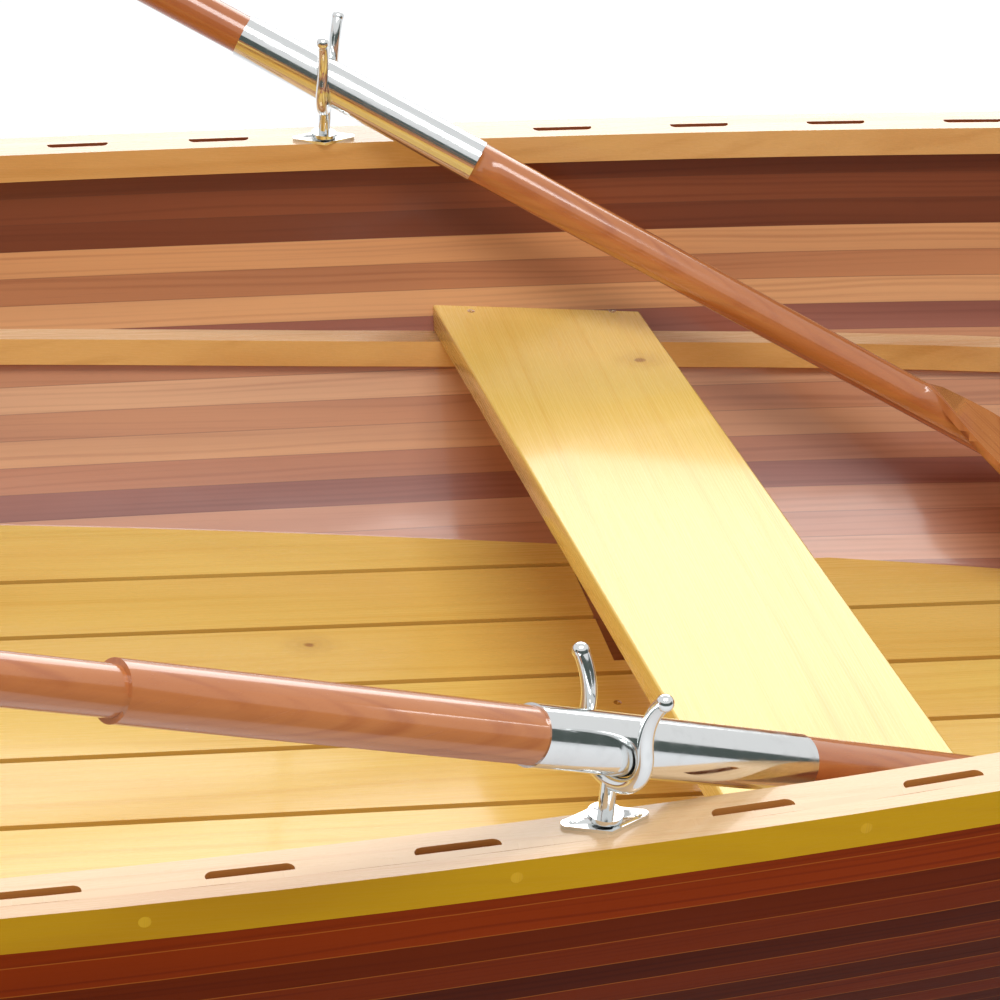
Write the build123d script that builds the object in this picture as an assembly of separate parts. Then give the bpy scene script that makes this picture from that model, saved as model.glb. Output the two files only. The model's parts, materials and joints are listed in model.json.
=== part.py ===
from build123d import *
from math import atan2, cos, degrees, radians, sin, tan
import os

# Strip-planked pulling boat with two oars, in millimetres.
# X runs forward to the bow, Y to port and Z up.
# The origin lies on the waterline, amidships on the centreline.

# Hull form, outside of the planking, as one row for each station:
# x, height of the bottom, rise of floor in degrees, half-breadth where the
# straight floor ends, half-breadth and height where the bilge ends,
# half-breadth and height at the sheer
STATIONS = [
    (-2620, 107, 14.0, 70, 170, 190, 310, 425),
    (-2260, 35, 11.0, 120, 250, 130, 408, 409),
    (-1900, -22, 9.0, 185, 345, 87, 494, 400),
    (-1200, -59, 6.0, 310, 480, 62, 600, 402),
    (-800, -65.5, 5.3, 354, 527, 60, 647, 412),
    (-425, -66, 5.2, 368, 543, 60, 673, 424.5),
    (-25, -65.5, 5.7, 347, 525.5, 60, 681, 442),
    (375, -65, 6.6, 296, 480, 60, 669, 463),
    (825, -65.5, 8.7, 215, 413, 60, 633, 491.5),
    (1275, -66, 13.0, 135, 323, 60, 565, 525),
    (1700, -63, 24.0, 70, 200, 60, 465, 561),
    (2125, -45, 50.0, 35, 85, 60, 297, 601),
    (2400, 5, 66.0, 22, 38, 70, 137, 629),
    (2550, 150, 84.0, 15, 16.5, 185, 20, 646),
]
KEEL_HALF = 14.0
PLANK_T = 8.0
GLUE = 0.1
SHEER_STRAKE = 117.0
SIDE_FROM_Z = 66.0

# Room left around the solids that only cut others
TRIM_ROOM = 60.0
ARC_PAST = 0.04
ROOM_WIDE = 900.0
ROOM_FAR = 4000.0

# Transom, raked aft
TRANSOM_TOP_X = -2590.0
TRANSOM_TOP_Z = 425.0
TRANSOM_RAKE = 17.0
TRANSOM_T = 22.0
TRANSOM_CROWN = 26.0

# Backbone
KEEL_BOTTOM_Z = -92.0
KEEL_FORE_X = 2050.0
SKEG_FORE_X = -900.0
SKEG_AFT_X = -2470.0
STEM_HALF = 19.0
STEM_FACE_X = 2590.0
STEM_HEAD_Z = 668.0
STEM_HEEL_Z = 60.0
STEM_INNER_Z = 200.0
FOREFOOT_R = 330.0
SKEG_ROOM_Z = 170.0
BOW_EYE_Z = 250.0
BOW_EYE_ROD = 9.0
BOW_EYE_R = 19.0
BOW_EYE_FOOT_R = 15.0
BOW_EYE_FOOT_T = 4.0

# Gunwale: rubbing strake outside, slotted inner rail inside
RAIL_WIDE = 47.3
OUTWALE_T = 14.0
RAIL_DEEP = 31.3
RAIL_LAP = 5.0
SLOT_LONG = 65.0
SLOT_WIDE = 9.0
SLOT_LAP = 2.0
SLOT_FIRST = 113.0
SLOT_PITCH = 152.5
BREASTHOOK_AFT_X = 2330.0
BREASTHOOK_T = 28.0
BREASTHOOK_HOLLOW_R = 230.0
BREASTHOOK_HOLLOW_DEEP = 70.0
KNEE_T = 24.0
KNEE_LONG = 210.0
KNEE_ACROSS = 150.0
KNEE_TOE = 20.0
KNEE_OFF = 6.0

# Rowing stations
LOCK_X = 375.0
LOCK_PITCH = 988.5
LOCK_INSET = 20.5

# Butts of the long pieces, at the rowing stations and else midway between two slots
AFT_LOCK_X = LOCK_X - LOCK_PITCH
BUTT_XS = (
    AFT_LOCK_X - SLOT_FIRST - 8.5 * SLOT_PITCH,
    AFT_LOCK_X - SLOT_FIRST - 4.5 * SLOT_PITCH,
    AFT_LOCK_X,
    LOCK_X,
    LOCK_X + SLOT_FIRST + 2.5 * SLOT_PITCH,
    LOCK_X + SLOT_FIRST + 5.5 * SLOT_PITCH,
    LOCK_X + SLOT_FIRST + 8.5 * SLOT_PITCH,
)
LOCK_BLOCK_HALF = 60.0

# Floorboards
FLOOR_Z = 65.0
FLOOR_T = 15.0
BOARD_PITCH = 112.0
BOARD_GAP = 8.0
FLOOR_AFT_X = -2050.0
FLOOR_FORE_X = 1640.0
OUTER_BOARD_Y = 560.0
BOARDS_BESIDE = 3
WELL_AFT = 258.0
WELL_LONG = 70.0
WELL_IN_Y = 192.0
BEARER_T = 22.0
BEARER_XS = (-2000, -1378, -713, -48, 617, 1282, 1600)
BEARER_HALF = 330.0
BEARER_SHORT = 30.0

# Seats and the risers that carry them
THWART_T = 27.3
THWART_WIDE = 231.0
THWART_TOP = 218.4
THWART_AFT = 166.5
THWART_SKEW = 3.78
CENTRE_THWART_BACK = 988.5
RISER_DEEP = 31.0
RISER_T = 12.0
BOW_SEAT_X = (1640.0, 2010.0)
STERN_SEAT_X = (-2540.0, -2060.0)
RISER_CLIMB_FORE = 0.035
RISER_CLIMB_AFT = 0.015

# Oarlocks
PLATE_LONG = 67.5
PLATE_WIDE = 36.0
PLATE_T = 3.0
PLATE_TIP_R = 5.0
SHANK_D = 12.7
SHANK_FIT = 0.05
SOCKET_D = 15.4
SOCKET_LONG = 31.3
BOSS_RISE = 1.0
COLLAR_D = 27.0
COLLAR_T = 4.0
FORK_ROD = 12.0
HORN_TIP_D = 13.4
OAR_FIT = 0.3
FORK_TURN = 14.0
HORN_OUT = 43.0
HORN_UP = 58.0
COLLAR_FIT = 0.3
SHANK_BELOW = 34.0

# Oars: lengths are measured from the middle of the sleeve's worn place, towards the
# blade as positive
OAR_RISE = 68.0
TIP_AT = 1200.0
GRIP_END_AT = -700.0
GRIP_STEP_AT = -468.0
SLEEVE_FROM = -103.0
SLEEVE_TO = 184.0
GRIP_D = 35.0
LOOM_D = 42.6
SLEEVE_D = 46.5
SLEEVE_WALL = 1.75
SHAFT_D = 44.0
NECK_D = 41.0
NECK_AT = 860.0

# Blade: its face is cut flat from the shaft, whose spine runs on along its back
BLADE_FROM = 725.0
FACE_FROM = 752.0
FACE_TO = 855.0
SHOULDER_AT = 835.0
SHOULDER_HALF = 55.0
BLADE_FULL_AT = 960.0
BLADE_HALF = 66.0
BLADE_CORNER_R = 34.0
BLADE_T = 9.0
BLADE_TIP_T = 5.0
SPINE_TO = 1130.0
SPINE_END_R = 4.0

# side, turn of the oar inboard of straight ahead, dip of its blade, how much further its
# lock is turned, all in degrees, and how far the oar is slid towards its blade
OARS = {
    "starboard": (-1, 23.0, 22.0, 8.0, 17.0),
    "port": (1, 22.25, 21.5, -2.0, 0.0),
}


def unit(angle):
    return Vector(cos(radians(angle)), sin(radians(angle)))


def turn_end(start, start_angle, end):
    """Angle of an arc's tangent at its end, from its start tangent and its two ends."""
    chord = degrees(atan2(end.Y - start.Y, end.X - start.X))
    return 2 * chord - start_angle


def arc_past(start, start_angle, end, share):
    """Point where an arc ends when it runs on past its end by a share of itself."""
    chord = end - start
    turn = 2 * (degrees(atan2(chord.Y, chord.X)) - start_angle)
    longer = turn * (1 + share)
    reach = chord.length * sin(radians(longer / 2)) / sin(radians(turn / 2))
    return start + unit(start_angle + longer / 2) * reach


def half_section(station, inset):
    """Corners and tangents of one side's section, moved in by inset along its normals."""
    _, low, rise, flat_y, bilge_y, bilge_z, sheer_y, sheer_z = station
    garboard = Vector(KEEL_HALF, low)
    flat_end = Vector(flat_y, low + (flat_y - KEEL_HALF) * tan(radians(rise)))
    bilge = Vector(bilge_y, bilge_z)
    sheer = Vector(sheer_y, sheer_z)
    bilge_angle = turn_end(flat_end, rise, bilge)
    sheer_angle = turn_end(bilge, bilge_angle, sheer)
    corners = [garboard, flat_end, bilge, sheer]
    angles = [rise, rise, bilge_angle, sheer_angle]
    moved = [c + unit(a + 90) * inset for c, a in zip(corners, angles)]
    return moved, angles


def side_edges(station, inset, mirror_it):
    """Edges of one side, from the keel up and past the sheer."""
    corners, angles = half_section(station, inset)
    garboard, flat_end, bilge, sheer = corners
    above = arc_past(bilge, angles[2], sheer, ARC_PAST)
    head = Vector(above.X, station[7] + TRIM_ROOM)
    edges = [
        Line(garboard, flat_end),
        TangentArc(flat_end, bilge, tangent=unit(angles[1])),
        TangentArc(bilge, above, tangent=unit(angles[2])),
        Line(above, head),
    ]
    if mirror_it:
        edges = [mirror(e, Plane.YZ) for e in edges]
    return edges, garboard, head


def section_face(station, inset):
    """Whole section as a face across the boat at its station."""
    port, low, head = side_edges(station, inset, False)
    starboard, _, _ = side_edges(station, inset, True)
    keel = Line((-low.X, low.Y), (low.X, low.Y))
    top = Line((head.X, head.Y), (-head.X, head.Y))
    flat = make_face([keel] + port + [top] + starboard)
    across = Plane(origin=(station[0], 0, 0), x_dir=(0, 1, 0), z_dir=(1, 0, 0))
    return across * flat


def profile_solid(outline, half):
    """Solid of a side-view outline, half to each side of the centreline."""
    face = Plane.XZ * make_face(outline)
    return extrude(face, half, both=True)


def box_face(x, y_low, y_high, z_low, z_high):
    """Upright rectangle across the boat."""
    across = Plane(origin=(x, 0, 0), x_dir=(0, 1, 0), z_dir=(1, 0, 0))
    middle = ((y_low + y_high) / 2, (z_low + z_high) / 2)
    return across * Pos(*middle) * Rectangle(y_high - y_low, z_high - z_low)


def block(x_low, x_high, y_low, y_high, z_low, z_high):
    """Box between six named sides."""
    size = (x_high - x_low, y_high - y_low, z_high - z_low)
    middle = ((x_low + x_high) / 2, (y_low + y_high) / 2, (z_low + z_high) / 2)
    return Pos(*middle) * Box(*size)


def value_at(x, column):
    """Smooth value of one column of the station table at any x."""
    xs = [s[0] for s in STATIONS]
    ys = [s[column] for s in STATIONS]
    i = max(1, min(len(xs) - 3, sum(1 for v in xs if v <= x) - 1))
    total = 0.0
    for j in range(i - 1, i + 3):
        weight = 1.0
        for k in range(i - 1, i + 3):
            if k != j:
                weight *= (x - xs[k]) / (xs[j] - xs[k])
        total += weight * ys[j]
    return total


def sheer_y(x):
    return value_at(x, 6)


def sheer_z(x):
    return value_at(x, 7)


def rail_angle(x):
    """Turn of the port sheer in plan, in degrees."""
    step = 5.0
    return degrees(atan2(sheer_y(x + step) - sheer_y(x - step), 2 * step))


def thwart_bottom():
    return FLOOR_Z + THWART_TOP - THWART_T


def riser_top(x):
    """Height of the risers, which climb gently towards the bow."""
    ahead = x - LOCK_X - THWART_AFT
    climb = RISER_CLIMB_FORE if ahead > 0 else RISER_CLIMB_AFT
    return thwart_bottom() + climb * ahead


def sheer_band(drop, depth):
    """Everything between two levels that follow the sheer, full width."""
    faces = []
    for s in STATIONS:
        faces.append(box_face(s[0], -ROOM_WIDE, ROOM_WIDE, s[7] - drop - depth, s[7] - drop))
    return loft(faces)


def transom_plane(forward):
    """Raked plane of the transom's after face, moved forward along its normal."""
    normal = Vector(cos(radians(TRANSOM_RAKE)), 0, sin(radians(TRANSOM_RAKE)))
    origin = Vector(TRANSOM_TOP_X, 0, TRANSOM_TOP_Z) + normal * forward
    return Plane(origin=origin, x_dir=(0, 1, 0), z_dir=normal)


def raked_slab(forward_from, forward_to):
    """Slab between two planes parallel to the transom."""
    plane = transom_plane(forward_from)
    return extrude(plane * Rectangle(ROOM_FAR, ROOM_FAR), forward_to - forward_from)


FAIR = loft([section_face(s, 0) for s in STATIONS])
OUTER = loft([section_face(s, -GLUE) for s in STATIONS])
INNER = loft([section_face(s, PLANK_T) for s in STATIONS])
BEHIND = raked_slab(-ROOM_WIDE, 0)
PORT_HALF = block(-ROOM_FAR, ROOM_FAR, 0, ROOM_WIDE, -ROOM_FAR, ROOM_FAR)
INSIDE = INNER - raked_slab(-ROOM_WIDE, TRANSOM_T)


def in_lengths(solid, butts):
    """A long piece as the lengths that it is made up of, butt to butt."""
    ends = (-ROOM_FAR, *butts, ROOM_FAR)
    lengths = []
    for low, high in zip(ends, ends[1:]):
        cut = solid & block(low, high, -ROOM_WIDE, ROOM_WIDE, -ROOM_FAR, ROOM_FAR)
        lengths += cut.solids()
    return lengths


def make_planking():
    """Planking of the port side, as its sheer strake, side and bottom."""
    whole = (FAIR & PORT_HALF & sheer_band(0, ROOM_WIDE)) - BEHIND
    below = sheer_band(SHEER_STRAKE, ROOM_WIDE)
    floor = block(-ROOM_FAR, ROOM_FAR, -ROOM_WIDE, ROOM_WIDE, -ROOM_FAR, SIDE_FROM_Z)
    sheer_strake = []
    side = []
    bottom = []
    for length in in_lengths(whole, BUTT_XS):
        shell = length - INNER
        sheer_strake += (shell - below).solids()
        lower = shell & below
        side += (lower - floor).solids()
        bottom += (lower & floor).solids()
    return sheer_strake, side, bottom


def make_transom():
    slab = INNER & raked_slab(0, TRANSOM_T)
    crown_r = (sheer_y(TRANSOM_TOP_X) ** 2 + TRANSOM_CROWN ** 2) / (2 * TRANSOM_CROWN)
    crown_z = TRANSOM_TOP_Z + TRANSOM_CROWN - crown_r
    across = Plane(origin=(TRANSOM_TOP_X, 0, crown_z), x_dir=(0, 1, 0), z_dir=(1, 0, 0))
    under_crown = extrude(across * Circle(crown_r), ROOM_WIDE, both=True)
    return slab & under_crown


def make_keel():
    bar = block(SKEG_FORE_X, KEEL_FORE_X, -KEEL_HALF, KEEL_HALF, KEEL_BOTTOM_Z, STEM_HEEL_Z)
    return bar - OUTER


def make_skeg():
    outline = Polyline(
        (SKEG_FORE_X, KEEL_BOTTOM_Z),
        (SKEG_FORE_X, STEM_HEEL_Z),
        (SKEG_AFT_X - TRIM_ROOM, SKEG_ROOM_Z),
        (SKEG_AFT_X, KEEL_BOTTOM_Z),
        close=True,
    )
    return profile_solid(outline, KEEL_HALF) - OUTER - BEHIND


def make_stem():
    start = (KEEL_FORE_X, KEEL_BOTTOM_Z)
    arc_start = (STEM_FACE_X - FOREFOOT_R, KEEL_BOTTOM_Z)
    arc_end = (STEM_FACE_X, KEEL_BOTTOM_Z + FOREFOOT_R)
    end_x = STATIONS[-1][0]
    outline = [
        Line(start, arc_start),
        TangentArc(arc_start, arc_end, tangent=(1, 0)),
        Line(arc_end, (STEM_FACE_X, STEM_HEAD_Z)),
        Line((STEM_FACE_X, STEM_HEAD_Z), (end_x, STEM_HEAD_Z)),
        Line((end_x, STEM_HEAD_Z), (end_x, STEM_INNER_Z)),
        Line((end_x, STEM_INNER_Z), (KEEL_FORE_X, STEM_HEEL_Z)),
        Line((KEEL_FORE_X, STEM_HEEL_Z), start),
    ]
    return profile_solid(outline, STEM_HALF) - OUTER


def make_bow_eye():
    ring_x = STEM_FACE_X + BOW_EYE_R
    ring = Pos(ring_x, 0, BOW_EYE_Z) * Rot(90, 0, 0) * Torus(BOW_EYE_R, BOW_EYE_ROD / 2)
    middle = STEM_FACE_X + BOW_EYE_FOOT_T / 2
    disc = Cylinder(BOW_EYE_FOOT_R, BOW_EYE_FOOT_T)
    foot = Pos(middle, 0, BOW_EYE_Z) * Rot(0, 90, 0) * disc
    ahead = block(STEM_FACE_X, ROOM_FAR, -ROOM_WIDE, ROOM_WIDE, -ROOM_FAR, ROOM_FAR)
    return (ring + foot) & ahead


RAIL_BAND = sheer_band(0, RAIL_DEEP)


def rail_bar(y_in, y_out, x_high):
    """Port bar that follows the sheer in plan, between two offsets from the planking's outside."""
    faces = []
    for s in STATIONS:
        low, high = s[7] - 2 * RAIL_DEEP, s[7] + RAIL_DEEP
        faces.append(box_face(s[0], s[6] + y_in, s[6] + y_out, low, high))
    bar = loft(faces) & RAIL_BAND & PORT_HALF
    return bar & block(-ROOM_FAR, x_high, -ROOM_WIDE, ROOM_WIDE, -ROOM_FAR, ROOM_FAR)


def make_outwale():
    return rail_bar(-PLANK_T, OUTWALE_T, STATIONS[-1][0]) - OUTER - BEHIND


def slot_places():
    """Fore-and-aft places of the slots, clear of both rowing stations."""
    places = []
    ahead = LOCK_X + SLOT_FIRST
    while ahead < BREASTHOOK_AFT_X - SLOT_LONG:
        places.append(ahead)
        ahead += SLOT_PITCH
    between = LOCK_X - SLOT_FIRST
    while between > AFT_LOCK_X + SLOT_FIRST - 1:
        places.append(between)
        between -= SLOT_PITCH
    astern = AFT_LOCK_X - SLOT_FIRST
    while astern > TRANSOM_TOP_X + KNEE_LONG + SLOT_LONG:
        places.append(astern)
        astern -= SLOT_PITCH
    return places


def slot_cutter(x):
    """Upright slot along the inside of the planking, open to it."""
    y = sheer_y(x) - PLANK_T - SLOT_WIDE / 2 + SLOT_LAP
    shape = SlotOverall(SLOT_LONG, SLOT_WIDE + 2 * SLOT_LAP)
    place = Pos(x, y, sheer_z(x)) * Rot(0, 0, rail_angle(x))
    return place * extrude(shape, 2 * RAIL_DEEP, both=True)


def inwale_butts():
    """The common butts, and the ends of the block that takes each oarlock."""
    ends = []
    for x in (LOCK_X, AFT_LOCK_X):
        ends += [x - LOCK_BLOCK_HALF, x + LOCK_BLOCK_HALF]
    return sorted([*BUTT_XS, *ends])


def make_inwale():
    """Slotted inner rail, as the lengths that it is made up of."""
    bar = rail_bar(OUTWALE_T - RAIL_WIDE, RAIL_LAP, BREASTHOOK_AFT_X)
    lengths = []
    for length in in_lengths(bar, inwale_butts()):
        ends = length.bounding_box()
        inside = length & INSIDE
        for x in slot_places():
            if ends.min.X < x < ends.max.X:
                inside = inside - slot_cutter(x)
        for x in (LOCK_X, AFT_LOCK_X):
            if ends.min.X < x + LOCK_BLOCK_HALF and x - LOCK_BLOCK_HALF < ends.max.X:
                bore = Cylinder(SOCKET_D / 2, 4 * RAIL_DEEP)
                inside = inside - Pos(x, lock_y(x), sheer_z(x)) * bore
        lengths += inside.solids()
    return lengths


def make_breasthook():
    band = sheer_band(0, BREASTHOOK_T)
    ahead = block(BREASTHOOK_AFT_X, ROOM_FAR, -ROOM_WIDE, ROOM_WIDE, -ROOM_FAR, ROOM_FAR)
    hollow_x = BREASTHOOK_AFT_X + BREASTHOOK_HOLLOW_DEEP - BREASTHOOK_HOLLOW_R
    hollow = Pos(hollow_x, 0, 0) * Cylinder(BREASTHOOK_HOLLOW_R, ROOM_FAR)
    return (band & INNER & ahead) - hollow


def make_knee(inwale, transom):
    """Knee in the corner of rail and transom, with a hollow inner edge."""
    aft_x = TRANSOM_TOP_X + TRANSOM_T + KNEE_OFF
    side_y = sheer_y(aft_x) - PLANK_T
    back_x, out_y = aft_x - TRIM_ROOM, side_y + TRIM_ROOM
    toe = (aft_x + KNEE_LONG, side_y - KNEE_TOE)
    heel = (aft_x, side_y - KNEE_ACROSS)
    outline = [
        Line((back_x, out_y), (toe[0], out_y)),
        Line((toe[0], out_y), toe),
        RadiusArc(toe, heel, KNEE_LONG + KNEE_TOE),
        Line(heel, (back_x, heel[1])),
        Line((back_x, heel[1]), (back_x, out_y)),
    ]
    prism = extrude(make_face(outline), ROOM_WIDE)
    knee = prism & sheer_band(0, KNEE_T) & INSIDE
    for length in inwale:
        knee = knee - length
    return knee - transom


def make_riser():
    faces = []
    for s in STATIONS[:-2]:
        top = riser_top(s[0])
        faces.append(box_face(s[0], riser_inner(s[0]), ROOM_WIDE, top - RISER_DEEP, top))
    return loft(faces) & INSIDE


def hull_half_breadth(x, z):
    """Inside half-breadth of the planking at a height, by following the section's arcs."""
    station = (x,) + tuple(value_at(x, c) for c in range(1, 8))
    corners, angles = half_section(station, PLANK_T)
    low, high = corners[2], corners[3]
    if z < low.Y:
        low, high = corners[1], corners[2]
        angles = [angles[0], angles[1], angles[1], angles[2]]
    if z < low.Y:
        return low.X - (low.Y - z) / tan(radians(angles[0]))
    chord = high - low
    start = unit(angles[2])
    normal = Vector(-start.Y, start.X)
    radius = chord.dot(chord) / (2 * chord.dot(normal))
    centre = low + normal * radius
    return centre.X + (radius ** 2 - (z - centre.Y) ** 2) ** 0.5


def riser_inner(x):
    """Face of the riser towards the middle of the boat."""
    return hull_half_breadth(x, riser_top(x) - RISER_DEEP) - RISER_T


def make_thwart(centre_x, bottom_z, wide, skew):
    plank = Box(wide, 2 * ROOM_WIDE, THWART_T)
    return Pos(centre_x, 0, bottom_z + THWART_T / 2) * Rot(0, 0, skew) * plank & INSIDE


def make_end_seat(x_low, x_high):
    bottom = riser_top(x_low if x_low > 0 else x_high)
    return block(x_low, x_high, -ROOM_WIDE, ROOM_WIDE, bottom, bottom + THWART_T) & INSIDE


def board_edges():
    """Inner and outer edge of each floorboard on the port side, the middle one split."""
    edges = [(0.0, BOARD_PITCH / 2 - BOARD_GAP / 2)]
    inner = BOARD_PITCH / 2 + BOARD_GAP / 2
    for _ in range(BOARDS_BESIDE):
        edges.append((inner, inner + BOARD_PITCH - BOARD_GAP))
        inner += BOARD_PITCH
    edges.append((inner, OUTER_BOARD_Y))
    return edges


def make_floorboards():
    bottom = FLOOR_Z - FLOOR_T
    edges = board_edges()
    spans = [(-edges[0][1], edges[0][1])]
    for low, high in edges[1:]:
        spans.append((low, high))
        spans.append((-high, -low))
    boards = []
    wells = []
    for side in (-1, 1):
        ys = sorted((side * WELL_IN_Y, side * edges[BOARDS_BESIDE][1]))
        x = LOCK_X + WELL_AFT
        wells.append(block(x, x + WELL_LONG, ys[0], ys[1], bottom, FLOOR_Z))
    for low, high in spans:
        board = block(FLOOR_AFT_X, FLOOR_FORE_X, low, high, bottom, FLOOR_Z) & INSIDE
        for well in wells:
            board = board - well
        boards.append(board)
    return boards


def make_bearers():
    bearers = []
    for x in BEARER_XS:
        top = FLOOR_Z - FLOOR_T
        half = min(BEARER_HALF, hull_half_breadth(x, top) - BEARER_SHORT)
        bar = block(x - BEARER_T / 2, x + BEARER_T / 2, -half, half, KEEL_BOTTOM_Z, top)
        bearers.append(bar & INSIDE)
    return bearers


def lock_y(x):
    """Half-breadth of an oarlock's axis, set in from the planking's outside."""
    return sheer_y(x) - LOCK_INSET


def diamond(half_long, half_wide):
    """Diamond with rounded ends."""
    reach = half_long - PLATE_TIP_R
    kite = Polyline(
        (reach, PLATE_TIP_R),
        (0, half_wide),
        (-reach, PLATE_TIP_R),
        (-reach, -PLATE_TIP_R),
        (0, -half_wide),
        (reach, -PLATE_TIP_R),
        close=True,
    )
    shape = make_face(kite)
    for s in (-1, 1):
        shape = shape + Pos(s * reach, 0) * Circle(PLATE_TIP_R)
    return shape


def make_socket(x):
    """Diamond plate that follows the rail, with the tube that lines the hole through it."""
    place = Pos(x, lock_y(x), sheer_z(x)) * Rot(0, 0, rail_angle(x))
    prism = place * extrude(diamond(PLATE_LONG / 2, PLATE_WIDE / 2), RAIL_DEEP, both=True)
    plate = prism & sheer_band(-PLATE_T, PLATE_T)
    tube_long = PLATE_T + BOSS_RISE + SOCKET_LONG
    tube_middle = PLATE_T + BOSS_RISE - tube_long / 2
    tube = place * Pos(0, 0, tube_middle) * Cylinder(SOCKET_D / 2, tube_long)
    bore = place * Cylinder(SHANK_D / 2 + SHANK_FIT, 4 * RAIL_DEEP)
    return plate + tube - bore


def oar_frame(side, turn, dip):
    """Place with its X axis along the oar towards the blade and its Y axis level."""
    heading = Vector(cos(radians(turn)), -side * sin(radians(turn)), 0)
    along = heading * cos(radians(dip)) + Vector(0, 0, -sin(radians(dip)))
    up = heading * sin(radians(dip)) + Vector(0, 0, cos(radians(dip)))
    origin = (LOCK_X, side * lock_y(LOCK_X), sheer_z(LOCK_X) + OAR_RISE)
    return Plane(origin=origin, x_dir=along, z_dir=up)


def fork_radius():
    """Radius of the fork's bend that just takes the oar that lies most askew in it."""
    shares = [cos(radians(dip)) * cos(radians(askew)) for _, _, dip, askew, _ in OARS.values()]
    return (SLEEVE_D / 2 + OAR_FIT + FORK_ROD / 2) / min(shares)


def make_oarlock(side, turn):
    """Open fork on a shank, with a collar that bears on the plate."""
    heading = Vector(cos(radians(turn)), -side * sin(radians(turn)), 0)
    top = sheer_z(LOCK_X)
    origin = (LOCK_X, side * lock_y(LOCK_X), top + OAR_RISE)
    frame = Plane(origin=origin, x_dir=Vector(0, 0, 1).cross(heading), z_dir=heading)
    bend_r = fork_radius()
    arc_top = unit(FORK_TURN) * bend_r
    lean = unit(FORK_TURN + 90)
    tip = Vector(HORN_OUT, HORN_UP)
    bend = Vector(0, -bend_r)
    half = [
        TangentArc(bend, arc_top, tangent=(1, 0)),
        TangentArc(arc_top, tip, tangent=lean),
    ]
    path = Wire(half)
    rod = sweep(Plane(origin=bend, z_dir=(1, 0, 0)) * Circle(FORK_ROD / 2), path=path)
    rod = rod + Pos(tip.X, tip.Y) * Sphere(HORN_TIP_D / 2)
    fork = frame * (rod + mirror(rod, Plane.YZ))
    shank_low = top - SHANK_BELOW
    shank_high = top + OAR_RISE - bend_r
    middle = (shank_low + shank_high) / 2
    place = Pos(LOCK_X, side * lock_y(LOCK_X), middle)
    shank = place * Cylinder(SHANK_D / 2, shank_high - shank_low)
    collar_z = top + PLATE_T + BOSS_RISE + COLLAR_FIT + COLLAR_T / 2
    collar = Pos(LOCK_X, side * lock_y(LOCK_X), collar_z) * Cylinder(COLLAR_D / 2, COLLAR_T)
    return fork + shank + collar


def shaft_radius(at):
    """Radius of the shaft between the sleeve and the neck."""
    share = (at - SLEEVE_TO) / (NECK_AT - SLEEVE_TO)
    return (SHAFT_D + (NECK_D - SHAFT_D) * share) / 2


def make_shaft():
    """Grip, loom and shaft, with the face of the blade cut flat from it."""
    bore_d = SLEEVE_D - 2 * SLEEVE_WALL
    outline = Polyline(
        (GRIP_END_AT, 0),
        (GRIP_END_AT, GRIP_D / 2),
        (GRIP_STEP_AT, GRIP_D / 2),
        (GRIP_STEP_AT, LOOM_D / 2),
        (SLEEVE_FROM, LOOM_D / 2),
        (SLEEVE_FROM, bore_d / 2),
        (SLEEVE_TO, bore_d / 2),
        (SLEEVE_TO, SHAFT_D / 2),
        (NECK_AT, NECK_D / 2),
        (SPINE_TO, SPINE_END_R),
        (SPINE_TO, 0),
        close=True,
    )
    top = shaft_radius(FACE_FROM)
    above = Polyline(
        (FACE_FROM, top),
        (FACE_TO, 0),
        (TIP_AT, 0),
        (TIP_AT, ROOM_WIDE),
        (FACE_FROM, ROOM_WIDE),
        close=True,
    )
    return revolve(make_face(outline), Axis.X) - profile_solid(above, ROOM_WIDE)


def make_blade():
    """Blade from its shoulders to its tip, thinning towards the tip."""
    corner_at = TIP_AT - BLADE_CORNER_R
    corner_y = BLADE_HALF - BLADE_CORNER_R
    edge = [
        Spline(
            (BLADE_FROM, 0),
            (SHOULDER_AT, SHOULDER_HALF),
            (BLADE_FULL_AT, BLADE_HALF),
            tangents=[(2, 1), (1, 0)],
        ),
        Line((BLADE_FULL_AT, BLADE_HALF), (corner_at, BLADE_HALF)),
        TangentArc((corner_at, BLADE_HALF), (TIP_AT, corner_y), tangent=(1, 0)),
        Line((TIP_AT, corner_y), (TIP_AT, 0)),
        Line((TIP_AT, 0), (BLADE_FROM, 0)),
    ]
    half = make_face(edge)
    outline = extrude(half + mirror(half, Plane.XZ), BLADE_HALF, both=True)
    top = shaft_radius(FACE_FROM)
    side = Polyline(
        (BLADE_FROM, top),
        (FACE_FROM, top),
        (FACE_TO, 0),
        (TIP_AT, 0),
        (TIP_AT, -BLADE_TIP_T),
        (FACE_TO, -BLADE_T),
        (FACE_FROM, top - BLADE_T),
        (BLADE_FROM, top - BLADE_T),
        close=True,
    )
    return outline & profile_solid(side, ROOM_WIDE)


def make_oar(side, turn, dip, slide):
    """Loom, shaft and blade in one piece of wood."""
    return oar_frame(side, turn, dip) * Pos(slide, 0, 0) * (make_shaft() + make_blade())


def make_sleeve(side, turn, dip, slide):
    long = SLEEVE_TO - SLEEVE_FROM
    middle = (SLEEVE_TO + SLEEVE_FROM) / 2 + slide
    tube = Cylinder(SLEEVE_D / 2, long) - Cylinder(SLEEVE_D / 2 - SLEEVE_WALL, long)
    return oar_frame(side, turn, dip) * Pos(middle, 0, 0) * Rot(0, 90, 0) * tube


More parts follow.
